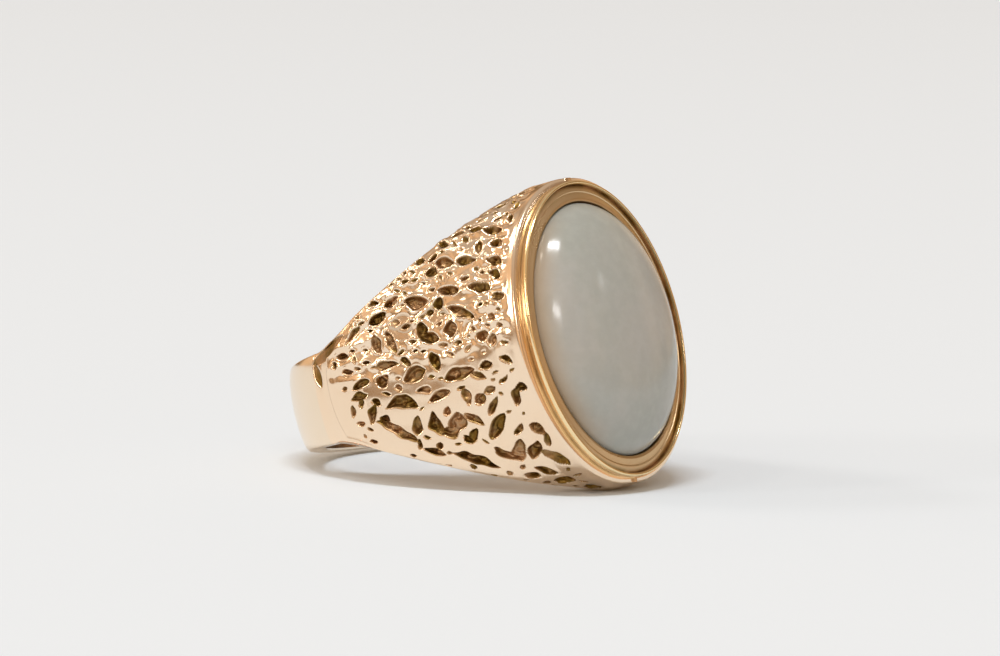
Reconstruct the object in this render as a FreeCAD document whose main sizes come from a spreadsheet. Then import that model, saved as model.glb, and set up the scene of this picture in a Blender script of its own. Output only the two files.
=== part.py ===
import FreeCAD, Part
import math
import os
import Sketcher
from FreeCAD import Placement, Rotation, Vector

# A gold cocktail ring with an oval cabochon, lying on its side as it comes to rest on a table.
# Every piece is drawn in the ring's own axes and then leaned over together with all the others:
#   X runs from the centre of the finger hole towards the stone,
#   Y runs across the hand, left shoulder positive,
#   Z runs along the finger.
# The origin is the centre of the finger hole.  Sizes are in millimetres.

os.makedirs("parts", exist_ok=True)
doc = FreeCAD.newDocument("cocktail_ring")

SIZES = {
    # the plain band at the back of the finger
    "finger_radius": 9.1,
    "band_radius": 10.5,
    "band_width": 5.1,
    "band_edge": 0.45,
    # the shoulders, which widen from the band to the head
    "shoulder_back": 2.3,
    "turn_in": 1.8,
    "head_height": 10.5,
    "head_half_length": 9.5,
    "head_half_width": 7.4,
    "start_bulge": 0.5,
    "head_corner": 0.3,
    # the smooth upright collar that ends the head, just below the setting
    "collar_height": 12.25,
    "collar_half_length": 9.42,
    "collar_half_width": 7.0,
    # the oval cup let into the head: its floor, its mouth and its crest
    "floor_height": 10.2,
    "floor_half_length": 8.4,
    "floor_half_width": 6.0,
    "mouth_height": 12.3,
    "mouth_half_length": 9.18,
    "mouth_half_width": 6.55,
    "crest_height": 12.8,
    "crest_half_length": 9.15,
    "crest_half_width": 6.5,
    "crest_inner_length": 8.95,
    "crest_inner_width": 6.3,
    "cup_inner_length": 7.7,
    "cup_inner_width": 5.55,
    # the oval plate and the shelf ring inside the cup
    "plate_height": 10.8,
    "plate_opening_length": 4.6,
    "plate_opening_width": 2.9,
    "shelf_height": 11.8,
    "shelf_opening_length": 7.0,
    "shelf_opening_width": 5.0,
    # the cabochon, a 16 x 12 mm trade size, and the band pressed down round it
    "stone_half_length": 8.0,
    "stone_half_width": 6.0,
    "girdle_height": 12.2,
    "dome_height": 3.0,
    "grip_height": 12.72,
}

sheet = doc.addObject("Spreadsheet::Sheet", "dims")
for row, (name, value) in enumerate(SIZES.items(), start=1):
    sheet.set(f"A{row}", name)
    sheet.set(f"B{row}", str(value))
    sheet.setAlias(f"B{row}", name)
doc.recompute()

# The ring rests on the lower edge of the band and the lower end of the head,
# so the lean is the slope of the line between those two edges.
rise = sheet.head_half_length - sheet.band_width / 2
run = sheet.head_height + sheet.band_radius
LEAN = Rotation(Vector(0, 1, 0), -math.degrees(math.atan2(rise, run)))

FULL_TURN = 360
MARGIN = 15  # how far a cutting shape reaches past the metal, mm


def new_body(label):
    """A body for one piece, leaned over with the rest of the ring."""
    body = doc.addObject("PartDesign::Body", label)
    body.Label = label
    body.Placement = Placement(Vector(0, 0, 0), LEAN)
    return body


def plane_sketch(body, name, role, height=None):
    """A sketch on one of the body's own planes, raised along its normal by an expression."""
    sketch = body.newObject("Sketcher::SketchObject", name)
    plane = [item for item in body.Origin.OriginFeatures if item.Role == role][0]
    sketch.AttachmentSupport = [(plane, "")]
    sketch.MapMode = "FlatFace"
    if height is not None:
        sketch.setExpression("AttachmentOffset.Base.z", height)
    return sketch


def bind(sketch, constraint, formula):
    """Add a constraint and tie its value to the table of sizes."""
    index = sketch.addConstraint(constraint)
    sketch.setExpression(f"Constraints[{index}]", formula)


def number(formula):
    """What a formula on the table of sizes comes to, used to draw a sketch near its final size."""
    return float(sheet.evalExpression(formula))


def oval(body, name, height, half_length, half_width):
    """An ellipse facing the stone: long along the finger, short across the hand."""
    sketch = plane_sketch(body, name, "YZ_Plane", height)
    long_half = number(half_length)
    short_half = number(half_width)
    ellipse = Part.Ellipse(Vector(0, long_half, 0), Vector(-short_half, 0, 0), Vector(0, 0, 0))
    curve = sketch.addGeometry(ellipse, False)
    long_axis = sketch.GeometryCount
    short_axis = long_axis + 1
    sketch.exposeInternalGeometry(curve)
    sketch.addConstraint(Sketcher.Constraint("Coincident", curve, 3, -1, 1))
    sketch.addConstraint(Sketcher.Constraint("Vertical", long_axis))
    bind(sketch, Sketcher.Constraint("Distance", long_axis, 2 * long_half), f"2 * ({half_length})")
    bind(sketch, Sketcher.Constraint("Distance", short_axis, 2 * short_half), f"2 * ({half_width})")
    return sketch


def rectangle(body, name, role, left, right, bottom, top):
    """A rectangle whose four sides are tied to the table of sizes."""
    sketch = plane_sketch(body, name, role)
    x0, x1, y0, y1 = number(left), number(right), number(bottom), number(top)
    corners = [Vector(x0, y0, 0), Vector(x1, y0, 0), Vector(x1, y1, 0), Vector(x0, y1, 0)]
    for index in range(4):
        sketch.addGeometry(Part.LineSegment(corners[index], corners[(index + 1) % 4]), False)
    for index in range(4):
        sketch.addConstraint(Sketcher.Constraint("Coincident", index, 2, (index + 1) % 4, 1))
        direction = "Horizontal" if index % 2 == 0 else "Vertical"
        sketch.addConstraint(Sketcher.Constraint(direction, index))
    bind(sketch, Sketcher.Constraint("DistanceX", -1, 1, 0, 1, x0), left)
    bind(sketch, Sketcher.Constraint("DistanceX", -1, 1, 0, 2, x1), right)
    bind(sketch, Sketcher.Constraint("DistanceY", -1, 1, 0, 1, y0), bottom)
    bind(sketch, Sketcher.Constraint("DistanceY", -1, 1, 2, 1, y1), top)
    return sketch


def loft(body, kind, name, sketches):
    """A straight-sided skin drawn through a stack of sections."""
    feature = body.newObject(f"PartDesign::{kind}Loft", name)
    feature.Profile = sketches[0]
    feature.Sections = sketches[1:]
    feature.Ruled = True
    for sketch in sketches:
        sketch.Visibility = False
    return feature


def pocket(body, name, sketch, symmetric=False):
    """Cut a sketch right through the body."""
    cut = body.newObject("PartDesign::Pocket", name)
    cut.Profile = sketch
    cut.Type = "ThroughAll"
    cut.Midplane = symmetric
    sketch.Visibility = False
    return cut


def finger_hole(body):
    """Cut the finger hole through a body, along the finger."""
    circle = plane_sketch(body, body.Label + "_hole", "XY_Plane")
    circle.addGeometry(Part.Circle(Vector(0, 0, 0), Vector(0, 0, 1), number("dims.finger_radius")), False)
    circle.addConstraint(Sketcher.Constraint("Coincident", 0, 3, -1, 1))
    bind(circle, Sketcher.Constraint("Radius", 0, number("dims.finger_radius")), "dims.finger_radius")
    return pocket(body, body.Label + "_bore", circle, symmetric=True)


def crowned(body, name, role, side, height, inner, edge, bulge, half):
    """Half of a crowned strip: straight from the inner line to the edge, then half an ellipse."""
    sketch = plane_sketch(body, name, role, height)
    x_in, x_edge = side * number(inner), side * number(edge)
    deep, tall = number(bulge), number(half)
    centre = Vector(x_edge, 0, 0)
    ellipse = Part.Ellipse(centre + Vector(0, tall, 0), centre - Vector(deep, 0, 0), centre)
    angles = (math.pi, 2 * math.pi) if side > 0 else (0, math.pi)
    arc = sketch.addGeometry(Part.ArcOfEllipse(ellipse, *angles), False)
    outline = ((x_edge, tall), (x_in, tall), (x_in, -tall), (x_edge, -tall))
    corners = [Vector(x, y, 0) for x, y in outline]
    lines = []
    for start, end in zip(corners, corners[1:]):
        lines.append(sketch.addGeometry(Part.LineSegment(start, end), False))
    top_line, inner_line, low_line = lines
    long_axis = sketch.GeometryCount
    short_axis = long_axis + 1
    sketch.exposeInternalGeometry(arc)
    arc_low, arc_top = (1, 2) if side > 0 else (2, 1)
    sketch.addConstraint(Sketcher.Constraint("Coincident", arc, arc_top, top_line, 1))
    sketch.addConstraint(Sketcher.Constraint("Coincident", top_line, 2, inner_line, 1))
    sketch.addConstraint(Sketcher.Constraint("Coincident", inner_line, 2, low_line, 1))
    sketch.addConstraint(Sketcher.Constraint("Coincident", low_line, 2, arc, arc_low))
    sketch.addConstraint(Sketcher.Constraint("Horizontal", top_line))
    sketch.addConstraint(Sketcher.Constraint("Horizontal", low_line))
    sketch.addConstraint(Sketcher.Constraint("Vertical", inner_line))
    sketch.addConstraint(Sketcher.Constraint("PointOnObject", arc, 3, -1))
    bind(sketch, Sketcher.Constraint("Distance", long_axis, 2 * tall), f"2 * ({half})")
    bind(sketch, Sketcher.Constraint("Distance", short_axis, 2 * deep), f"2 * ({bulge})")
    bind(sketch, Sketcher.Constraint("DistanceX", -1, 1, arc, 3, x_edge), f"{side} * ({edge})")
    bind(sketch, Sketcher.Constraint("DistanceX", -1, 1, inner_line, 1, x_in), f"{side} * ({inner})")
    return sketch


# ---------------------------------------------------------------- the plain band
# Wire bent round the back of the finger: flat inside, crowned a little outside.
# It stops where the shoulders start.
band = new_body("shank_band")
profile = crowned(
    band, "band_profile", "XZ_Plane", 1, None,
    "dims.finger_radius", "dims.band_radius - dims.band_edge", "dims.band_edge", "dims.band_width / 2",
)
hoop = band.newObject("PartDesign::Revolution", "band_hoop")
hoop.Profile = profile
hoop.ReferenceAxis = (profile, ["V_Axis"])
hoop.Angle = FULL_TURN
profile.Visibility = False
front = rectangle(
    band, "band_front", "XY_Plane",
    "-dims.shoulder_back", f"{MARGIN}", f"-{MARGIN}", f"{MARGIN}",
)
pocket(band, "band_cut", front, symmetric=True)


# ---------------------------------------------------------------- the shoulders
# Each shoulder is a casting that starts as wide as the band and opens out to the head.
# Its sections are cut across the line from the band to the stone, and each one is crowned:
# almost flat beside the band, half an oval at the head.  An upright collar ends it.
STEPS = [index / 12 for index in range(13)]
SIDES = {"left_shoulder": 1, "right_shoulder": -1}

for label, side in SIDES.items():
    shoulder = new_body(label)
    sections = []
    for index, share in enumerate(STEPS):
        step = f"{share:.4f}"
        along = f"-dims.shoulder_back + {step} * (dims.head_height + dims.shoulder_back)"
        half = f"dims.band_width / 2 + {step} ^ 1.35 * (dims.head_half_length - dims.band_width / 2)"
        if number(along) < number("dims.turn_in"):
            reach = f"sqrt(dims.band_radius ^ 2 - ({along}) ^ 2)"
        else:
            bend = "sqrt(dims.band_radius ^ 2 - dims.turn_in ^ 2)"
            slope = f"(dims.head_half_width - {bend}) / (dims.head_height - dims.turn_in)"
            reach = f"{bend} + ({slope}) * (({along}) - dims.turn_in)"
        full_bulge = "dims.head_half_width - dims.head_corner"
        bulge = f"dims.start_bulge + {step} ^ 4.5 * ({full_bulge} - dims.start_bulge)"
        sections.append(crowned(
            shoulder, f"{label}_section_{index}", "YZ_Plane", side, along,
            "0", f"({reach}) - ({bulge})", bulge, half,
        ))
    sections.append(crowned(
        shoulder, f"{label}_collar", "YZ_Plane", side, "dims.collar_height", "0",
        "dims.head_corner", "dims.collar_half_width - dims.head_corner", "dims.collar_half_length",
    ))
    loft(shoulder, "Additive", label + "_body", sections)
    finger_hole(shoulder)
    cavity = [
        oval(shoulder, label + "_cavity_floor", "dims.floor_height",
             "dims.floor_half_length", "dims.floor_half_width"),
        oval(shoulder, label + "_cavity_mouth", "dims.mouth_height",
             "dims.mouth_half_length", "dims.mouth_half_width"),
    ]
    loft(shoulder, "Subtractive", label + "_cavity", cavity)
    opening = oval(shoulder, label + "_opening", "dims.floor_height",
                   "dims.plate_opening_length", "dims.plate_opening_width")
    pocket(shoulder, label + "_light_hole", opening)


# ---------------------------------------------------------------- the cup
# Strip bent to an oval and soldered into the head.  Inside it steps out to a straight seat
# for the stone and then flares to the thin bright crest.
INNER_FLOOR = ("dims.floor_height", "dims.cup_inner_length", "dims.cup_inner_width")
INNER_SHELF = ("dims.shelf_height", "dims.stone_half_length", "dims.stone_half_width")
INNER_GIRDLE = ("dims.girdle_height", "dims.stone_half_length", "dims.stone_half_width")
INNER_CREST = ("dims.crest_height", "dims.crest_inner_length", "dims.crest_inner_width")

cup = new_body("bezel_cup")
cup_outside = [
    oval(cup, "cup_floor", "dims.floor_height", "dims.floor_half_length", "dims.floor_half_width"),
    oval(cup, "cup_mouth", "dims.mouth_height", "dims.mouth_half_length", "dims.mouth_half_width"),
    oval(cup, "cup_crest", "dims.crest_height", "dims.crest_half_length", "dims.crest_half_width"),
]
loft(cup, "Additive", "cup_outside", cup_outside)
cup_inside = [
    oval(cup, f"cup_inside_{index}", *ring)
    for index, ring in enumerate((INNER_FLOOR, INNER_SHELF, INNER_GIRDLE, INNER_CREST))
]
loft(cup, "Subtractive", "cup_inside", cup_inside)


def between(low, high, height):
    """The oval a straight wall passes through at a height between two of its ovals."""
    part = f"(({height}) - ({low[0]})) / (({high[0]}) - ({low[0]}))"
    long_half = f"{low[1]} + {part} * ({high[1]} - {low[1]})"
    short_half = f"{low[2]} + {part} * ({high[2]} - {low[2]})"
    return (height, long_half, short_half)


# ---------------------------------------------------------------- the plate and the shelf
PLATE_TOP = between(INNER_FLOOR, INNER_SHELF, "dims.plate_height")
plate = new_body("back_plate")
loft(plate, "Additive", "plate_sheet", [
    oval(plate, "plate_low", *INNER_FLOOR),
    oval(plate, "plate_top", *PLATE_TOP),
])
plate_hole = oval(plate, "plate_hole", "dims.plate_height",
                  "dims.plate_opening_length", "dims.plate_opening_width")
pocket(plate, "plate_opening", plate_hole)

shelf = new_body("stone_shelf")
loft(shelf, "Additive", "shelf_ring", [
    oval(shelf, "shelf_low", *PLATE_TOP),
    oval(shelf, "shelf_top", *INNER_SHELF),
])
shelf_hole = oval(shelf, "shelf_hole", "dims.shelf_height",
                  "dims.shelf_opening_length", "dims.shelf_opening_width")
pocket(shelf, "shelf_opening", shelf_hole)


# ---------------------------------------------------------------- the stone and its band
def dome(body, kind, name):
    """The half ellipsoid of the cabochon, standing on the girdle and pointing away from the finger."""
    shape = body.newObject(f"PartDesign::{kind}Ellipsoid", name)
    shape.setExpression("Radius1", "dims.dome_height")
    shape.setExpression("Radius2", "dims.stone_half_length")
    shape.setExpression("Radius3", "dims.stone_half_width")
    shape.Angle1 = 0
    shape.Angle2 = 90
    shape.Angle3 = FULL_TURN
    plane = [item for item in body.Origin.OriginFeatures if item.Role == "YZ_Plane"][0]
    shape.AttachmentSupport = [(plane, "")]
    shape.MapMode = "FlatFace"
    shape.AttachmentOffset = Placement(Vector(0, 0, 0), Rotation(Vector(0, 0, 1), 90))
    shape.setExpression("AttachmentOffset.Base.z", "dims.girdle_height")
    return shape


stone = new_body("cabochon")
girdle = oval(stone, "stone_base", "dims.shelf_height", "dims.stone_half_length", "dims.stone_half_width")
slab = stone.newObject("PartDesign::Pad", "stone_girdle")
slab.Profile = girdle
slab.setExpression("Length", "dims.girdle_height - dims.shelf_height")
girdle.Visibility = False
dome(stone, "Additive", "stone_dome")

grip = new_body("stone_grip")
loft(grip, "Additive", "grip_band", [
    oval(grip, "grip_low", *INNER_GIRDLE),
    oval(grip, "grip_top", *between(INNER_GIRDLE, INNER_CREST, "dims.grip_height")),
])
dome(grip, "Subtractive", "grip_seat")

# ---------------------------------------------------------------- check and hand over
PIECES = (band, *[doc.getObject(label) for label in SIDES], cup, plate, shelf, grip, stone)

doc.recompute()
for item in doc.Objects:
    assert "Invalid" not in item.State and "Error" not in item.State, (item.Label, item.State)
for piece in PIECES:
    shape = piece.Shape
    assert not shape.isNull() and shape.isValid(), piece.Label
    assert len(shape.Solids) == 1, (piece.Label, len(shape.Solids))
    shape.exportStep(f"parts/{piece.Label}.step")
    box = shape.BoundBox
    print(f"{piece.Label}: {shape.Volume:.1f} cubic mm, z {box.ZMin:.2f} to {box.ZMax:.2f}")
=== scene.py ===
# %% [markdown]
# # A gold cocktail ring with an oval cabochon
# The ring lies on its side on a pale table, resting on the lower edge of its band and on the
# lower end of its head.  The solids give every size.  This lesson adds what a jeweller's hand
# leaves on them: the crowned band, the deeply cut texture of the shoulders, the rolled crest
# of the setting and the soft grey stone.

import math

import bmesh
import bpy
import numpy as np
from mathutils import Matrix, Vector


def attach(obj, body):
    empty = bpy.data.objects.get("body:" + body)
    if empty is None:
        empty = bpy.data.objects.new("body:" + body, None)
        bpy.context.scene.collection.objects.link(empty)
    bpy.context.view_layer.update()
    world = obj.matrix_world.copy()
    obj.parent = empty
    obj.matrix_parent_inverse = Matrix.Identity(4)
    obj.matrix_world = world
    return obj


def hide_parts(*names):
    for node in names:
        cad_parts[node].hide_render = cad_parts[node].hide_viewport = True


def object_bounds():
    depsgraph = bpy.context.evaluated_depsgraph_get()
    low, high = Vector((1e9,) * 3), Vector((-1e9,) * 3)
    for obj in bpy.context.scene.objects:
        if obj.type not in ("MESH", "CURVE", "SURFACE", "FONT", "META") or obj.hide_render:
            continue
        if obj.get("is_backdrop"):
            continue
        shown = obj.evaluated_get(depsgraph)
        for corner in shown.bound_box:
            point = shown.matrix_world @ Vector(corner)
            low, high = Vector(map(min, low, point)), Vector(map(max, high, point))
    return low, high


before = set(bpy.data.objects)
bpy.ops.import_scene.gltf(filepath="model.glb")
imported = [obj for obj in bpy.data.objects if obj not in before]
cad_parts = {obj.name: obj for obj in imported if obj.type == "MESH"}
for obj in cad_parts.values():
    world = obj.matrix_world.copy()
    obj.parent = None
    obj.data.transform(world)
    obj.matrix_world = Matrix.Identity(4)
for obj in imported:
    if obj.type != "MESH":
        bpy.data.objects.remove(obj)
MM = 0.001
lowest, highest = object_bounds()
box_at_load = [list(lowest), list(highest)]
print("frame box, mm:", [round((b - a) / MM, 2) for a, b in zip(lowest, highest)])

# %% [markdown]
# ## The ring's own axes
# Everything is easiest to shape with the finger hole upright: X towards the stone, Y across the
# hand and Z along the finger.  The finished shapes are then leaned back together, by the slope
# of the line between the two places where the ring touches the table.

# %% The ring's own axes
# All in millimetres.
FINGER = 9.1          # radius of the finger hole
BAND = 10.5           # radius of the outside of the band
BAND_HALF = 2.55      # half the band's width
CROWN = 0.5           # how far the band is crowned
FULLER = 0.5          # how much fuller the lower edge is where shoulder and band meet
SHOULDER_BACK = 2.3   # the shoulders begin this far behind the finger's middle
TURN_IN = 1.8         # beyond this height the shoulders leave the circle and run straight
HEAD = 10.5           # height at which the head is widest
HEAD_LONG = 9.5       # half the head's length there
HEAD_WIDE = 7.4       # half the head's width there
COLLAR = 12.33        # height of the top of the collar
COLLAR_LONG = 9.42    # half the collar's length
COLLAR_WIDE = 7.0     # half the collar's width
CORNER = 0.3          # how far from the middle plane the collar's ends stop
FLOOR = 10.2          # height of the seat that the cup stands on
LEAN = math.atan2(HEAD_LONG - BAND_HALF, HEAD + BAND)


def lean(points):
    """Ring axes in millimetres to the table's axes in metres."""
    c, s = math.cos(LEAN), math.sin(LEAN)
    x, y, z = points[:, 0], points[:, 1], points[:, 2]
    return np.stack([c * x - s * z, y, s * x + c * z], axis=1) * MM


def smooth(low, high, value):
    """Nought below low, one above high, with a gentle S between them."""
    share = np.clip((value - low) / (high - low), 0, 1)
    return share * share * (3 - 2 * share)


print("lean, degrees:", round(math.degrees(LEAN), 2))

# %% [markdown]
# ## Shader helpers
# A small class wraps a shader socket so that sums can be written as sums.  A second one holds
# the nodes of one material and adds them through a single method.

# %% Shader helpers


class Wire:
    """A value on its way through a shader."""

    def __init__(self, graph, socket):
        self.graph = graph
        self.socket = socket

    def _math(self, operation, *values, clamp=False):
        settings = {"operation": operation, "use_clamp": clamp}
        return self.graph.node("ShaderNodeMath", settings, *values)

    def __add__(self, other):
        return self._math("ADD", self, other)

    def __sub__(self, other):
        return self._math("SUBTRACT", self, other)

    def __mul__(self, other):
        return self._math("MULTIPLY", self, other)

    __radd__ = __add__

    def clamp(self):
        return self._math("ADD", self, 0.0, clamp=True)


class Graph:
    """The node tree of one material or of the room."""

    def __init__(self, owner, surface):
        owner.use_nodes = True
        self.tree = owner.node_tree
        self.surface = self.tree.nodes[surface]

    def node(self, kind, settings, *values, output=0, **named):
        """Add one node: its settings first, then its inputs in order or by name."""
        made = self.tree.nodes.new(kind)
        for key, value in settings.items():
            setattr(made, key, value)
        for key, value in [*enumerate(values), *named.items()]:
            socket = made.inputs[key]
            if isinstance(value, Wire):
                self.tree.links.new(value.socket, socket)
            else:
                socket.default_value = value
        return Wire(self, made.outputs[output])

    def place(self):
        """Where a point is on the object, in metres."""
        return self.node("ShaderNodeTexCoord", {}, output="Object")

    def noise(self, scale, detail=3.0, roughness=0.5):
        return self.node("ShaderNodeTexNoise", {}, Vector=self.place(), Scale=scale,
                         Detail=detail, Roughness=roughness)

    def ramp(self, value, low, high):
        """Nought below low, one above high, smooth between."""
        settings = {"interpolation_type": "SMOOTHSTEP"}
        return self.node("ShaderNodeMapRange", settings, value, low, high)

    def mix(self, share, first, second):
        """Blend two colours."""
        made = self.tree.nodes.new("ShaderNodeMix")
        made.data_type = "RGBA"
        for index, value in ((0, share), (6, first), (7, second)):
            if isinstance(value, Wire):
                self.tree.links.new(value.socket, made.inputs[index])
            else:
                made.inputs[index].default_value = value if index == 0 else (*value, 1.0)
        return Wire(self, made.outputs[2])

    def feed(self, name, value):
        """Join a value to the surface, or set a constant on it."""
        socket = self.surface.inputs[name]
        if isinstance(value, Wire):
            self.tree.links.new(value.socket, socket)
        else:
            socket.default_value = value


# %% [markdown]
# ## Gold and stone
# The shoulders and band are a pale, faintly rosy alloy; the setting is yellower.  A worn
# polish shows as roughness that wanders from place to place.  Inside the cuts and the setting's
# grooves the metal is dull and dark, partly tarnish from years of wear and partly painted shade;
# the mesh says how dark each of its points is.

# %% Gold and stone


def gold(name, bright, deep, rough, cuts=False):
    """A gold that wanders between two tones, darkened in its cuts if it has any: tarnish and
    painted shade.
    """
    material = bpy.data.materials.new(name)
    graph = Graph(material, "Principled BSDF")
    wander = graph.noise(260.0, 4.0)
    colour = graph.mix(wander, deep, bright)
    finish = rough + (wander - 0.5) * (rough * 0.7)
    if cuts:
        cut = graph.node("ShaderNodeAttribute", {"attribute_name": "cut"}, output="Fac")
        dark_patch_noise = graph.noise(620.0, 3.0)
        patchy = graph.ramp(dark_patch_noise, 0.38, 0.66)
        # The dark colour in the cuts stands for tarnish and for painted shade.
        tarnish_and_shade_colour = graph.mix(patchy, (0.17, 0.092, 0.008), (0.44, 0.265, 0.135))
        share = graph.ramp(cut, 0.15, 0.80) * 0.97
        colour = graph.mix(share, colour, tarnish_and_shade_colour)
        finish = finish + share * 0.25
    graph.feed("Base Color", colour)
    graph.feed("Roughness", finish.clamp())
    graph.feed("Metallic", 1.0)
    return material


cast_gold = gold("cast_gold", (0.98, 0.80, 0.61), (0.93, 0.70, 0.49), 0.17, cuts=True)
band_gold = gold("band_gold", (0.94, 0.79, 0.62), (0.90, 0.73, 0.54), 0.18)
bezel_gold = gold("bezel_gold", (0.98, 0.79, 0.48), (0.92, 0.69, 0.37), 0.17, cuts=True)
matt_gold = gold("matt_gold", (0.74, 0.56, 0.34), (0.58, 0.43, 0.25), 0.30, cuts=True)


def stone_material(name):
    """A clouded grey stone, warmer where the mesh carries a painted reflection of the gold setting.
    """
    material = bpy.data.materials.new(name)
    graph = Graph(material, "Principled BSDF")
    cloud = graph.noise(140.0, 4.0, 0.55)
    fleck = graph.noise(1500.0, 2.0, 0.6)
    colour = graph.mix(graph.ramp(cloud, 0.3, 0.7), (0.36, 0.385, 0.36), (0.42, 0.42, 0.40))
    colour = graph.mix(graph.ramp(fleck, 0.35, 0.75) * 0.18, colour, (0.52, 0.53, 0.51))
    edge = graph.node("ShaderNodeAttribute", {"attribute_name": "cut"}, output="Fac")
    # Painted reflection: the gold setting's warm colour near the girdle.
    colour = graph.mix(edge * 0.55, colour, (0.46, 0.30, 0.14))
    graph.feed("Base Color", colour)
    graph.feed("Roughness", 0.13 + graph.noise(500.0) * 0.06)
    graph.feed("Metallic", 0.0)
    graph.feed("IOR", 1.54)
    graph.feed("Subsurface Weight", 0.35)
    graph.feed("Subsurface Radius", (0.0015, 0.0014, 0.0012))
    graph.feed("Subsurface Scale", 1.0)
    return material


grey_stone = stone_material("cabochon")
print("materials:", len(bpy.data.materials))

# %% [markdown]
# ## Turning a sketch into a piece
# Each piece starts as a bmesh.  Its points are shaped in the ring's own axes, and the finished
# mesh is leaned back and hung on the ring in place of the solids it stands for.  An edge is
# kept crisp where its two faces turn sharply, and in the cuts only where they turn more.

# %% Turning a sketch into a piece
SHARP = math.radians(36)
CUT_SHARP = math.radians(65)


def finish_piece(name, shape, material, nodes, cut=None):
    """Lean a bmesh and make it a piece that stands for some solids; cut is one value a point."""
    bmesh.ops.recalc_face_normals(shape, faces=shape.faces[:])
    shape.verts.index_update()
    for edge in shape.edges:
        plain = cut is None or max(cut[vert.index] for vert in edge.verts) < 0.01
        limit = SHARP if plain else CUT_SHARP
        edge.smooth = edge.calc_face_angle(0.0) < limit
    mesh = bpy.data.meshes.new(name)
    shape.to_mesh(mesh)
    shape.free()
    points = np.empty(len(mesh.vertices) * 3)
    mesh.vertices.foreach_get("co", points)
    mesh.vertices.foreach_set("co", lean(points.reshape(-1, 3)).ravel())
    mesh.polygons.foreach_set("use_smooth", [True] * len(mesh.polygons))
    # The cut value sets painted colour: on the gold, darkening that is painted shade and, in the
    # shoulders' cuts, also tarnish; on the stone, a painted reflection of the gold.
    if cut is not None:
        layer = mesh.attributes.new("cut", "FLOAT", "POINT")
        layer.data.foreach_set("value", cut)
    mesh.update()
    piece = bpy.data.objects.new(name, mesh)
    bpy.context.collection.objects.link(piece)
    mesh.materials.append(material)
    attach(piece, "root")
    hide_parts(*nodes)
    print(name, "faces:", len(mesh.polygons))


def close_holes(shape):
    bmesh.ops.holes_fill(shape, edges=[edge for edge in shape.edges if edge.is_boundary], sides=0)


def everything(shape):
    return shape.verts[:] + shape.edges[:] + shape.faces[:]


def grid_points(shape, rows, columns):
    """A flat grid and, for each of its points, which row and column it is in."""
    bmesh.ops.create_grid(shape, x_segments=rows - 1, y_segments=columns - 1, size=1.0)
    flat = np.array([vert.co[:] for vert in shape.verts])
    row = np.rint((flat[:, 0] + 1) / 2 * (rows - 1)).astype(int)
    column = np.rint((flat[:, 1] + 1) / 2 * (columns - 1)).astype(int)
    return row, column


def grid_from_table(table):
    """A grid laid over a table of points, and which row and column each of its points has."""
    shape = bmesh.new()
    rows, columns = table.shape[:2]
    row, column = grid_points(shape, rows, columns)
    for vert, place in zip(shape.verts, table[row, column]):
        vert.co = Vector(place)
    shape.verts.ensure_lookup_table()
    return shape, row, column


# %% [markdown]
# ## The setting
# The cup is a strip of gold bent to an oval.  Its wall shows only as a rounded crest with a
# narrow groove outside it.  The band that grips the stone is burnished down almost level with
# the crest and left less bright, so it reads as a brown frame round the stone.

# %% The setting


def oval_tube(profile, around=320):
    """Sweep a closed profile round an oval facing the stone.

    The profile is a list of (height, long half, short half, painted shade).  Returns the tube and
    the painted shade at each of its points.
    """
    shape = bmesh.new()
    loop = bmesh.ops.create_circle(shape, segments=around, radius=1.0)["verts"]
    edges = shape.edges[:]
    loops = [loop]
    for _ in profile[1:]:
        grown = bmesh.ops.extrude_edge_only(shape, edges=edges)["geom"]
        loop = [item for item in grown if isinstance(item, bmesh.types.BMVert)]
        inside = set(loop)
        edges = [item for item in grown if isinstance(item, bmesh.types.BMEdge)
                 and all(vert in inside for vert in item.verts)]
        loops.append(loop)
    painted_shade_at = {}
    for loop, (height, long_half, short_half, painted_shade) in zip(loops, profile):
        for vert in loop:
            vert.co = Vector((height, short_half * vert.co.x, long_half * vert.co.y))
            painted_shade_at[vert] = painted_shade
    bmesh.ops.bridge_loops(shape, edges=[edge for edge in shape.edges if edge.is_boundary])
    return shape, [painted_shade_at[vert] for vert in shape.verts]


def rounded(corners, radius, steps=5):
    """Round the corners of a closed profile, each turned by a small arc."""
    made = []
    count = len(corners)
    for index, corner in enumerate(corners):
        here = np.array(corner, float)
        before = np.array(corners[index - 1], float) - here
        after = np.array(corners[(index + 1) % count], float) - here
        reach_in = min(radius, np.linalg.norm(before) * 0.45)
        reach_out = min(radius, np.linalg.norm(after) * 0.45)
        start = here + before / np.linalg.norm(before) * reach_in
        end = here + after / np.linalg.norm(after) * reach_out
        for step in range(steps):
            t = step / (steps - 1)
            made.append(tuple((1 - t) ** 2 * start + 2 * t * (1 - t) * here + t * t * end))
    return made


# The last value of each profile point is painted shade: in the groove outside the crest and in the
# crevices round the stone.
wall, wall_painted_shade = oval_tube(rounded([
    (10.2, 8.40, 6.00, 0), (12.1, 9.02, 6.44, 0.6), (12.50, 9.08, 6.48, 0.45),
    (12.66, 9.16, 6.53, 0), (12.86, 9.12, 6.49, 0), (12.87, 8.98, 6.36, 0),
    (12.66, 8.90, 6.29, 0.9), (12.5, 8.85, 6.26, 1), (12.1, 8.05, 6.05, 1),
    (11.6, 8.0, 6.0, 0), (10.2, 7.70, 5.55, 0),
], 0.10))
finish_piece("bezel_wall", wall, bezel_gold, ["bezel_cup"], wall_painted_shade)
grip, grip_painted_shade = oval_tube(rounded([
    (12.15, 8.02, 6.02, 0), (12.40, 8.78, 6.22, 0.8), (12.58, 8.88, 6.28, 0.7),
    (12.67, 8.50, 6.08, 0.1), (12.62, 8.44, 6.04, 0.3), (12.72, 8.05, 5.86, 0),
    (12.70, 7.88, 5.76, 0.5), (12.45, 7.84, 5.72, 1),
], 0.05))
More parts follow.
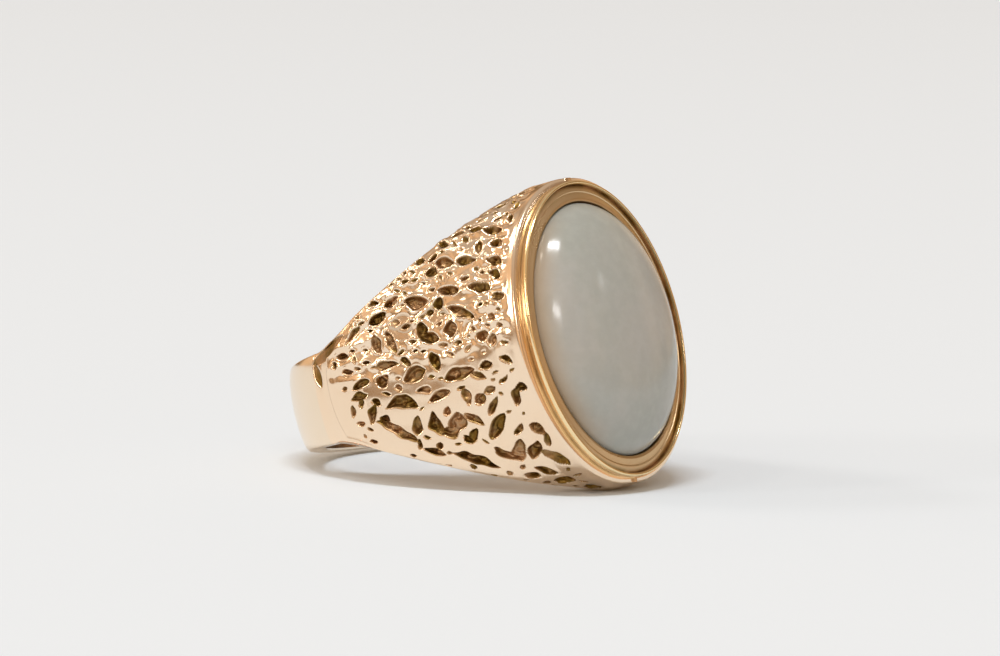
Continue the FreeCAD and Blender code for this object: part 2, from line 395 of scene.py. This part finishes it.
finish_piece("stone_grip_band", grip, matt_gold, ["stone_grip"], grip_painted_shade)

# %% [markdown]
# ## The stone
# A cabochon is ground as a low dome over a thin straight girdle.  Half of a ball squashed to
# the stone's three sizes gives the dome, and its open rim is drawn down for the girdle.

# %% The stone


def cabochon(height=12.2, dome=3.0, girdle=0.4, long_half=7.84, short_half=5.72):
    """The stone, and how much painted reflection of the gold each point carries: only by the girdle
    on the near side.
    """
    shape = bmesh.new()
    bmesh.ops.create_uvsphere(shape, u_segments=192, v_segments=96, radius=1.0)
    bmesh.ops.bisect_plane(shape, geom=everything(shape), plane_co=(0, 0, 0),
                           plane_no=(0, 0, -1), clear_outer=True)
    rim = [edge for edge in shape.edges if edge.is_boundary]
    grown = bmesh.ops.extrude_edge_only(shape, edges=rim)["geom"]
    low = [item for item in grown if isinstance(item, bmesh.types.BMVert)]
    bmesh.ops.translate(shape, verts=low, vec=(0, 0, -girdle / dome))
    close_holes(shape)
    painted_reflection = []
    for vert in shape.verts:
        x, y, z = vert.co
        # The near side of the girdle gets a painted reflection of the gold.
        painted_reflection.append(float(smooth(0.62, 0.12, z) * smooth(-0.25, -0.85, y)))
        vert.co = Vector((height + dome * z, short_half * y, long_half * x))
    return shape, painted_reflection


dome_shape, painted_gold_reflection = cabochon()
finish_piece("cabochon_stone", dome_shape, grey_stone, ["cabochon"], painted_gold_reflection)

# %% [markdown]
# ## The band
# The plain band is a strip bent round the back of the finger, flat inside and barely crowned
# outside, its edges softened by wear.  The rounded section is spun round the finger's axis
# and cut off flat where the shoulders begin; its lower edge grows fuller there to meet them.

# %% The band


def plain_band():
    shape = bmesh.new()
    overlap = 0.6
    angles = np.linspace(-math.pi / 2, math.pi / 2, 33)
    bevel = 0.1
    section = [(BAND - CROWN + CROWN * math.cos(a), BAND_HALF * math.sin(a)) for a in angles]
    section += [(FINGER + bevel, BAND_HALF), (FINGER, BAND_HALF - bevel)]
    section += [(FINGER, -BAND_HALF + bevel), (FINGER + bevel, -BAND_HALF)]
    verts = [shape.verts.new((out, 0.0, side)) for out, side in section]
    edges = [shape.edges.new(pair) for pair in zip(verts, verts[1:] + verts[:1])]
    start = math.acos(-(SHOULDER_BACK - overlap) / BAND)
    bmesh.ops.rotate(shape, verts=shape.verts[:], matrix=Matrix.Rotation(start, 3, "Z"))
    bmesh.ops.spin(shape, geom=verts + edges, axis=(0, 0, 1), cent=(0, 0, 0), steps=96,
                   angle=2 * (math.pi - start), use_duplicate=False)
    bmesh.ops.bisect_plane(shape, geom=everything(shape), plane_co=(-SHOULDER_BACK, 0, 0),
                           plane_no=(1, 0, 0), clear_outer=True)
    close_holes(shape)
    for vert in shape.verts:
        if vert.co.z < 0:
            near = (vert.co.x + BAND) / (BAND - SHOULDER_BACK)
            vert.co.z *= 1 + FULLER / BAND_HALF * near ** 1.5
    return shape


finish_piece("plain_band", plain_band(), band_gold, ["shank_band"])

# %% [markdown]
# ## The marks cut into a shoulder
# Each mark is one stroke of a graver, given by its two ends in millimetres (along the ring from
# the finger towards the stone, then round the shoulder from its middle), its width and how far
# it bows.  Short lens-shaped strokes are the commonest; a few are joined into hooks and forks.
# Facets and hollows are broader, shallower scrapes, with a last value for the painted shade in
# them.

# %% The marks cut into a shoulder
BIG_MARKS = [
    (1.0, -0.3, 2.3, -0.05, 0.42, 0), (2.7, -0.45, 3.5, -0.15, 0.62, 0),
    (2.85, 0.55, 4.35, 0.4, 0.36, 0.1), (4.4, -0.7, 5.9, -0.3, 0.72, 0.1),
    (6.45, 0.65, 6.65, -0.55, 0.42, 0.1), (4.6, 0.8, 5.1, 0.15, 0.3, 0),
    (6.9, -1.2, 8.85, -1.05, 0.55, 0.1), (8.5, -1.2, 9.5, -1.75, 0.28, 0),
    (9.2, -1.1, 10.05, -0.95, 0.36, 0.05), (10.5, -0.7, 11.5, -1.15, 0.3, 0),
    (11.8, -3.1, 11.0, -2.75, 0.42, -0.15), (11.2, -2.75, 10.6, -3.8, 0.46, -0.1),
    (0.7, -0.9, 2.05, -0.85, 0.34, 0.05), (1.55, -0.95, 1.4, -1.55, 0.26, 0),
    (0.75, -1.25, 0.57, -1.95, 0.25, 0), (2.1, -1.3, 2.75, -1.65, 0.28, 0),
    (2.3, -1.5, 1.75, -2.6, 0.36, 0), (3.0, -1.9, 4.95, -2.4, 0.72, 0.38),
    (5.15, -1.45, 5.95, -1.65, 0.33, 0.05), (5.6, -2.15, 7.05, -1.95, 0.42, 0.05),
    (7.9, -2.0, 7.9, -3.1, 0.36, 0.12), (7.55, -1.9, 8.05, -1.85, 0.2, 0),
    (5.65, -2.8, 6.2, -4.4, 0.52, -0.3), (5.9, -4.2, 6.95, -4.3, 0.55, -0.1),
    (6.7, -4.45, 7.1, -3.2, 0.8, -0.1), (6.35, -3.35, 6.7, -2.8, 0.26, 0),
    (7.5, -3.5, 8.45, -4.4, 0.38, 0), (6.95, -4.75, 7.4, -5.3, 0.3, 0),
    (7.3, -5.35, 7.8, -4.55, 0.42, 0), (8.85, -3.95, 9.8, -3.0, 0.36, 0),
    (8.5, -5.45, 9.8, -4.05, 0.62, 0.1), (9.85, -5.45, 10.35, -4.9, 0.27, 0),
    (10.75, -5.25, 11.45, -6.0, 0.5, 0.1), (11.4, -5.85, 11.05, -6.85, 0.38, 0.1),
    (9.8, -7.4, 10.7, -6.3, 0.5, 0), (8.3, -5.95, 9.25, -7.2, 0.44, 0),
    (9.9, -5.9, 9.2, -7.3, 0.6, -0.1), (10.55, -7.05, 11.45, -8.65, 0.6, 0.1),
    (9.55, -7.95, 10.35, -9.0, 0.38, 0), (8.9, -8.3, 9.45, -8.8, 0.45, 0),
    (9.75, -9.5, 10.6, -10.0, 0.6, 0), (10.5, -10.9, 11.1, -11.8, 0.6, 0),
    (2.15, -2.55, 4.3, -4.45, 0.45, 0.1), (2.4, -2.35, 2.9, -2.75, 0.4, 0),
    (4.75, -2.85, 4.3, -4.05, 0.5, 0), (4.45, -4.35, 4.25, -4.85, 0.25, 0),
    (4.5, -4.85, 5.65, -5.6, 0.32, 0), (5.5, -4.75, 5.4, -5.2, 0.24, 0),
    (6.1, -5.6, 8.05, -7.25, 0.42, 0.1), (6.75, -6.5, 6.65, -7.0, 0.26, 0),
    (8.2, -7.6, 8.2, -8.1, 0.26, 0), (3.8, -0.95, 4.15, -1.0, 0.25, 0),
    (0.15, -0.2, 0.65, -0.15, 0.16, 0), (9.0, -2.55, 9.8, -2.35, 0.3, 0),
    (8.45, -3.1, 8.95, -2.6, 0.36, 0), (7.2, 5.95, 8.3, 5.8, 0.48, 0),
    (8.45, 5.8, 9.7, 5.5, 0.34, 0), (10.3, 5.5, 11.35, 5.0, 0.4, 0),
    (10.4, 4.7, 11.4, 4.05, 0.38, 0), (9.25, 4.05, 10.55, 3.5, 0.5, 0),
    (10.75, 3.05, 11.6, 2.7, 0.4, 0), (7.4, 4.25, 8.65, 3.8, 0.46, 0),
    (7.45, 3.75, 7.4, 3.05, 0.4, 0), (5.35, 4.05, 6.75, 3.7, 0.56, -0.1),
    (3.95, 4.1, 4.9, 4.35, 0.4, 0), (2.9, 3.25, 4.1, 3.6, 0.46, 0),
    (7.95, 3.05, 9.6, 1.9, 0.42, 0), (7.95, 2.15, 7.9, 1.2, 0.58, 0),
    (6.2, 2.55, 6.15, 1.45, 0.5, 0), (6.05, 1.7, 7.15, 1.15, 0.5, 0),
    (3.1, 2.5, 3.3, 1.3, 0.34, 0), (1.15, 2.45, 2.3, 3.35, 0.26, 0),
    (0.2, 1.9, 1.15, 1.65, 0.25, 0), (-0.2, 1.7, 0.1, 1.1, 0.28, 0),
    (9.45, 0.65, 10.15, 0.9, 0.36, 0), (10.45, 0.8, 10.35, 0.05, 0.4, 0),
    (9.7, 7.7, 11.0, 7.3, 0.5, 0), (11.15, 8.4, 11.35, 7.75, 0.34, 0),
    (9.8, 9.6, 10.35, 9.75, 0.3, 0), (11.2, 9.6, 11.2, 9.0, 0.25, 0),
    (8.95, 7.9, 9.65, 7.6, 0.44, 0), (6.7, 5.4, 7.45, 5.2, 0.36, 0.1),
    (6.85, 6.2, 7.35, 6.5, 0.22, 0), (4.0, 2.6, 4.35, 1.2, 0.4, -0.1),
]
# The facets lie on the upper edge where the shoulder leaves the band; their dark colour is painted
# shade.
FACETS = [
    (-2.3, 1.9, 1.0, 3.05, 0.8, 0.1, 0.8), (-2.1, 2.0, -1.75, 0.4, 0.42, 0, 0.8),
]
HOLLOWS = [
    (4.0, 2.9, 5.5, 1.9, 1.3, 0.2, 0.42), (6.4, 3.0, 7.9, 2.6, 0.9, 0, 0.42),
    (9.6, 4.9, 10.8, 4.3, 0.9, 0, 0.34), (8.6, 0.9, 9.4, 2.2, 0.5, 0, 0.3),
]
print("strokes placed by hand:", len(BIG_MARKS) + len(FACETS) + len(HOLLOWS))

# %% [markdown]
# ## The shape of a shoulder
# The shoulder widens from the band to the head and is crowned more and more towards the head,
# where a smooth upright collar ends it.  These three rules give its half width, how far it
# stands out and the depth of its crown at any height, x.

# %% The shape of a shoulder


def climb(x):
    """Nought where the shoulder begins, one at the head."""
    return np.clip((x + SHOULDER_BACK) / (HEAD + SHOULDER_BACK), 0, 1)


def width_half(x):
    """Half the shoulder's width along the finger."""
    taper = BAND_HALF + climb(x) ** 1.35 * (HEAD_LONG - BAND_HALF)
    collar = HEAD_LONG + (COLLAR_LONG - HEAD_LONG) * (x - HEAD) / (COLLAR - HEAD)
    return np.where(x > HEAD, collar, taper)


def reach(x):
    """How far out the middle of the shoulder stands."""
    bend = math.sqrt(BAND ** 2 - TURN_IN ** 2)
    line = bend + (HEAD_WIDE - bend) / (HEAD - TURN_IN) * (x - TURN_IN)
    curve = np.sqrt(BAND ** 2 - np.minimum(x, TURN_IN) ** 2)
    rim = HEAD_WIDE + (COLLAR_WIDE - HEAD_WIDE) * (x - HEAD) / (COLLAR - HEAD)
    return np.where(x < TURN_IN, curve, np.where(x > HEAD, rim, line))


def crown(x):
    """How far the shoulder's edges lie below its middle."""
    swell = CROWN + climb(x) ** 4.5 * (HEAD_WIDE - CORNER - CROWN)
    return np.where(x > HEAD, reach(x) - CORNER, swell)


def fuller(x):
    """How much fuller the lower edge is than the upper one, in millimetres."""
    return FULLER * np.clip((HEAD - x) / (HEAD + SHOULDER_BACK), 0, 1) ** 0.7


def skin(x, angle):
    """A point on the smooth outside of a shoulder."""
    deep = crown(x)
    half = width_half(x) + np.where(angle < 0, fuller(x), 0)
    return np.stack([x, reach(x) - deep + deep * np.cos(angle), half * np.sin(angle)], axis=-1)


def round_the_shoulder(points):
    """How far round the shoulder each point lies from its middle line, in millimetres."""
    steps = np.linalg.norm(np.diff(points, axis=1), axis=2)
    far = np.concatenate([np.zeros((len(points), 1)), np.cumsum(steps, axis=1)], axis=1)
    return far - far[:, far.shape[1] // 2][:, None]


# %% [markdown]
# ## Cutting the marks
# A stroke is a groove with steep sides and pointed ends; where strokes meet they join into one
# hollow.  Between them the metal was beaten and scraped, so it waves gently: broad, flat facets
# below and a busier, more wrinkled surface above.

# %% Cutting the marks
POINTED = 0.8         # how fast a stroke narrows to its ends
SLIM = 0.66           # the share of its stated width that a stroke keeps


def waves(along, across, seed, longest, shortest, stretch):
    """A random, gently waving height between about minus one and one."""
    chance = np.random.default_rng(seed)
    height = np.zeros_like(along)
    for _ in range(48):
        length = chance.uniform(shortest, longest)
        turn = chance.uniform(0, math.pi)
        phase = chance.uniform(0, 2 * math.pi)
        run = along * math.cos(turn) / stretch + across * math.sin(turn)
        height += np.sin(run * 2 * math.pi / length + phase)
    return height / 7.0


def textured_half(x):
    """About how far the texture reaches on either side of the middle line."""
    return 2.4 + 0.83 * np.clip(x, 0, None)


def stroke(along, across, mark):
    """How far inside a stroke each point lies, in millimetres; below nought is outside."""
    x0, q0, x1, q1, width, bow = mark
    length = math.hypot(x1 - x0, q1 - q0)
    ux, uq = (x1 - x0) / length, (q1 - q0) / length
    t = ((along - x0) * ux + (across - q0) * uq) / length
    aside = (across - q0) * ux - (along - x0) * uq - bow * 4 * t * (1 - t)
    fat = np.clip(4 * t * (1 - t), 0, None) ** POINTED * width * SLIM
    beyond = np.clip(np.maximum(-t, t - 1), 0, None) * length
    return fat - np.hypot(aside, beyond)


def small_marks(seed, taken, top):
    """Little strokes scattered in the spaces that the large ones leave.

    top is 1 or -1, the side of the middle line that is uppermost and busier.
    """
    chance = np.random.default_rng(seed)
    made = []
    spots = [((a + c) / 2, (b + d) / 2, math.hypot(c - a, d - b) / 2)
             for a, b, c, d, *_ in taken]
    for _ in range(5000):
        x = chance.uniform(0.9, 11.2)
        q = chance.uniform(-textured_half(x), textured_half(x))
        upper = q * top > 0.5
        size = chance.uniform(0.15, 0.48) if upper else chance.uniform(0.14, 0.38)
        apart = 0.10 if upper else 0.17
        if any(math.hypot(x - sx, q - sq) < sr * 0.8 + size + apart for sx, sq, sr in spots):
            continue
        turn = chance.normal(-0.25 * top, 0.45)
        dx, dq = size * math.cos(turn), size * math.sin(turn)
        made.append((x - dx, q - dq, x + dx, q + dq, size * chance.uniform(0.50, 0.85), 0))
        spots.append((x, q, size))
    return made


def cut_texture(along, across, rim, marks, seed, top):
    """The height of the surface above the plain skin, and how dark each point is painted: tarnish
    and painted shade.
    """
    upper = smooth(-0.8, 1.2, across * top)
    wander_x = along + 0.060 * waves(along, across, seed + 4, 1.8, 0.7, 1.0)
    wander_q = across + 0.060 * waves(along, across, seed + 5, 1.8, 0.7, 1.0)
    chance = np.random.default_rng(seed)
    depth = np.zeros_like(along)
    burr = np.zeros_like(along)
    shade = np.zeros_like(along)
    for mark in marks:
        inside = stroke(wander_x, wander_q, mark)
        deepest = min(0.32, 0.14 + 0.35 * mark[4]) * chance.uniform(0.8, 1.2)
        depth = np.maximum(depth, deepest * smooth(-0.02, 0.10 + 0.12 * mark[4], inside))
        # The dark paint fills each cut out past its rim and over its bright walls: tarnish and
        # painted shade.
        shade = np.maximum(shade, smooth(-0.065, 0.01, inside) * chance.uniform(0.8, 1.0))
        burr = np.maximum(burr, np.exp(-((inside + 0.11) / 0.07) ** 2))
    depth *= 1 + 0.3 * waves(along, across, seed + 6, 0.9, 0.35, 1.0)
    flats = waves(along, across, seed + 1, 5.0, 2.2, 1.3) * 0.030
    wrinkles = waves(along, across, seed + 2, 1.5, 0.65, 1.9) * 0.062
    fine = waves(along, across, seed + 3, 0.7, 0.35, 1.6) * 0.009
    skyline = smooth(0.72, 0.95, np.abs(across) / textured_half(along))
    calm = (0.06 + 0.94 * upper) * (1 - 0.7 * skyline)
    relief = flats * (1 - 0.6 * upper) + (wrinkles + fine) * calm
    field = smooth(-0.95, -0.45, along - 0.06 * across ** 2) * smooth(11.9, 11.45, along) * rim
    height = (relief + burr * 0.04 * upper - depth) * field
    return height, shade * field


# %% [markdown]
# ## Making a shoulder
# The shoulder is a tube: each of its rows is a closed section that runs over the crowned
# outside, in across the side, down the finger hole and back.  Further up, the inside of the
# row follows the light hole and then the oval seat of the cup.

# %% Making a shoulder
OUTSIDE = 331         # points round the outside of a row
EDGE = 4              # steps across each side
INSIDE = 41           # points round the inside
ROWS = 222
LIP = 0.22            # rounding of the collar's top edge
LIGHT_HOLE = (4.6, 2.9)   # its long and short halves


def section_rows(x, hole):
    """Closed sections at the heights x; hole gives the long and short halves of the oval inside."""
    angle = np.linspace(-math.pi / 2, math.pi / 2, OUTSIDE)
    outside = skin(x[:, None] + 0 * angle, angle + 0 * x[:, None])
    bore = np.sqrt(np.clip(FINGER ** 2 - np.minimum(x, FINGER) ** 2, 0, None))
    turn = np.linspace(math.pi / 2, -math.pi / 2, INSIDE)
    along_z = hole[:, 0][:, None] * np.sin(turn)
    y = np.maximum(hole[:, 1][:, None] * np.cos(turn), bore[:, None])
    inside = np.stack([x[:, None] + 0 * y, y, along_z], axis=-1)
    side_top = outside[:, -1:] * [1, 0, 1] + np.array([0, 1, 0]) * bore[:, None, None]
    side_low = outside[:, :1] * [1, 0, 1] + np.array([0, 1, 0]) * bore[:, None, None]
    share = np.linspace(0, 1, EDGE + 1)[1:-1][None, :, None]
    going_in = outside[:, -1:] + (side_top - outside[:, -1:]) * share
    coming_out = side_low + (outside[:, :1] - side_low) * share
    ring = [outside, going_in, side_top, inside, side_low, coming_out, outside[:, :1]]
    return np.concatenate(ring, axis=1)


def inside_oval(x):
    """Long and short halves of the oval inside: the light hole, then the flared seat.

    FLOOR comes twice in x, so that the wall steps out there.
    """
    flare = np.interp(x, [FLOOR, COLLAR], [0, 1])
    hole = np.stack([8.40 + 0.66 * flare, 6.00 + 0.48 * flare], axis=1)
    first_seat = int(np.searchsorted(x, FLOOR)) + 1
    hole[:first_seat] = LIGHT_HOLE
    below = np.arange(first_seat)
    in_bore = x[below] < math.sqrt(FINGER ** 2 - LIGHT_HOLE[1] ** 2)
    hole[below[in_bore]] = (LIGHT_HOLE[0], 0.0)
    hole[:, 0] = np.minimum(hole[:, 0], width_half(x) - 0.02)
    return hole


def outward(points):
    """The direction that stands straight out of the skin at each point."""
    normal = np.cross(np.gradient(points, axis=1), np.gradient(points, axis=0))
    normal /= np.linalg.norm(normal, axis=2, keepdims=True) + 1e-12
    return normal * np.sign(normal[:, OUTSIDE // 2, 1])[:, None, None]


def shoulder(name, side, nodes, marks, facets, seed, top):
    """One shoulder; side is -1 near and 1 far, top is the side of its middle line uppermost."""
    x = np.linspace(-SHOULDER_BACK, COLLAR, ROWS)
    x[np.argmin(abs(x - FLOOR))] = FLOOR
    x = np.sort(np.append(x, FLOOR))
    table = section_rows(x, inside_oval(x))

    outer = table[:, :OUTSIDE]
    across = round_the_shoulder(outer)
    along = outer[..., 0]
    edge_room = np.minimum(across[:, -1:] - across, across - across[:, :1])
    band_strip = smooth(3.5, -0.5, along)
    room = edge_room - band_strip * 0.5
    rim = smooth(0.05, 0.30, room)
    every = marks + small_marks(seed, marks, top)
    height, shade = cut_texture(along, across, rim, every, seed, top)

    # A plain border, a little lower than the texture, where the shoulder leaves the band.
    panel = np.minimum(room, along + 1.2 - 0.06 * across ** 2)
    settled = smooth(-2.3, -1.5, along) * band_strip
    step = -0.16 * (1 - smooth(0.0, 0.25, panel)) * settled
    # A thin line of painted shade runs along the foot of the step.
    shade = np.maximum(shade, 0.45 * np.exp(-((panel - 0.02) / 0.07) ** 2) * settled)
    # Facets and hollows are scraped a little lower and painted with shade.
    for *mark, painted_shade in facets:
        inside = stroke(along, across * top, mark)
        step -= 0.09 * smooth(0.0, 0.12, inside)
        shade = np.maximum(shade, painted_shade * smooth(-0.04, 0.06, inside))

    close = np.clip((along - (COLLAR - LIP)) / LIP, 0, 1)
    rounding = -LIP * (1 - np.sqrt(1 - close ** 2))
    table[:, :OUTSIDE] = outer + outward(outer) * (height + step + rounding)[..., None]
    table[:, -1] = table[:, 0]
    table[..., 1] = np.maximum(table[..., 1], 0.0) * side

    shape, row, column = grid_from_table(table)
    # On the skin each point keeps its tarnish and painted shade.
    cut = np.zeros(len(shape.verts))
    on_skin = column < OUTSIDE
    cut[on_skin] = shade[row[on_skin], column[on_skin]]
    layer = shape.verts.layers.float.new("tarnish_and_shade_layer")
    for vert, value in zip(shape.verts, cut):
        vert[layer] = value
    # Joining the points that meet closes each row into a ring, and the ends are capped.
    bmesh.ops.remove_doubles(shape, verts=shape.verts[:], dist=1e-5)
    close_holes(shape)
    cut = np.array([vert[layer] for vert in shape.verts])
    shape.verts.layers.float.remove(layer)
    finish_piece(name, shape, cast_gold, nodes, cut)


shoulder("near_shoulder", -1, ["right_shoulder"], BIG_MARKS, FACETS + HOLLOWS, 11, 1)
turned = [(x0, -q0, x1, -q1, width, -bow) for x0, q0, x1, q1, width, bow in BIG_MARKS]
shoulder("far_shoulder", 1, ["left_shoulder"], turned, HOLLOWS, 23, -1)

# %% [markdown]
# ## Table, light and camera
# The table is a plain pale sheet.  A wide lamp overhead and one above the viewer make the two
# bright spots on the stone, and a small one on the right a faint third.  Four warmer lamps on
# the left light the shoulder and its collar, and a warm, patchy room stands beyond them, so
# that the gold has something to reflect.  The lens is long and stands well back, so the
# ring's sides hardly draw together.

# %% Table, light and camera
floor_level = box_at_load[0][2]
bpy.ops.mesh.primitive_plane_add(size=6.0, location=(0, 0, floor_level))
table_top = bpy.context.object
table_top.name = "table"
paper_material = bpy.data.materials.new("table_paper")
paper = Graph(paper_material, "Principled BSDF")
paper.feed("Base Color", (0.735, 0.815, 0.897, 1.0))
paper.feed("Roughness", 0.8)
table_top.data.materials.append(paper_material)
table_top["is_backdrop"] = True

AZIMUTH = math.radians(43.82)
ELEVATION = math.radians(6.76)
ROLL = math.radians(0.88)
DISTANCE = 417.5
back = Vector((math.sin(AZIMUTH) * math.cos(ELEVATION),
               -math.cos(AZIMUTH) * math.cos(ELEVATION),
               math.sin(ELEVATION)))
level = Vector((math.cos(AZIMUTH), math.sin(AZIMUTH), 0))
upright = back.cross(level)
right = level * math.cos(ROLL) + upright * math.sin(ROLL)
up = upright * math.cos(ROLL) - level * math.sin(ROLL)
camera_data = bpy.data.cameras.new("camera")
camera_data.sensor_width = 36.0
camera_data.lens = 244.7
camera_data.clip_start = 0.01
camera_data.clip_end = 20
camera = bpy.data.objects.new("camera", camera_data)
bpy.context.collection.objects.link(camera)
camera.matrix_world = Matrix((right, up, back)).transposed().to_4x4()
camera.location = (right * 2.403 + up * 2.849 + back * DISTANCE) * MM
bpy.context.scene.camera = camera


def lamp(name, azimuth, elevation, distance, width, tall, power, colour=(1, 1, 1)):
    """A soft lamp that faces the ring; its azimuth runs from the near side towards the stone."""
    a, e = math.radians(azimuth), math.radians(elevation)
    away = Vector((math.sin(a) * math.cos(e), -math.cos(a) * math.cos(e), math.sin(e)))
    data = bpy.data.lights.new(name, "AREA")
    data.shape = "RECTANGLE"
    data.size = width
    data.size_y = tall
    data.energy = power
    data.color = colour
    made = bpy.data.objects.new(name, data)
    bpy.context.collection.objects.link(made)
    made.location = away * distance
    made.rotation_euler = away.to_track_quat("Z", "Y").to_euler()


lamp("ceiling_lamp", 33, 73, 3.0, 1.25, 0.25, 46.0, (0.95, 0.98, 1.0))
lamp("viewer_lamp", 47, 30, 3.0, 0.75, 0.32, 9.0)
lamp("side_lamp", -24, 18, 3.0, 0.36, 0.85, 10.0, (1.0, 0.90, 0.80))
lamp("far_left_lamp", -60, 37, 3.0, 0.75, 0.36, 9.0, (1.0, 0.92, 0.84))
lamp("high_left_lamp", -20, 55, 3.0, 0.30, 0.20, 3.0, (1.0, 0.88, 0.76))
lamp("low_left_lamp", -70, 14, 3.0, 0.4, 0.3, 2.5, (1.0, 0.80, 0.62))
lamp("right_lamp", 123, 34, 3.0, 0.10, 0.08, 0.6)

room = bpy.data.worlds.new("room")
bpy.context.scene.world = room
sky = Graph(room, "Background")
direction = sky.node("ShaderNodeTexCoord", {}, output="Generated")
height = sky.node("ShaderNodeSeparateXYZ", {}, direction, output=2)
glow = sky.ramp(height, 0.35, 0.95)
patches = sky.node("ShaderNodeTexNoise", {}, Vector=direction, Scale=2.6, Detail=3.0)
walls = sky.mix(sky.ramp(patches, 0.38, 0.62), (0.24, 0.15, 0.075), (0.84, 0.57, 0.35))
sky.feed("Color", sky.mix(glow, walls, (0.53, 0.47, 0.41)))
sky.feed("Strength", 1.0)
bpy.context.scene.view_settings.view_transform = "Standard"

lowest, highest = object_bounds()
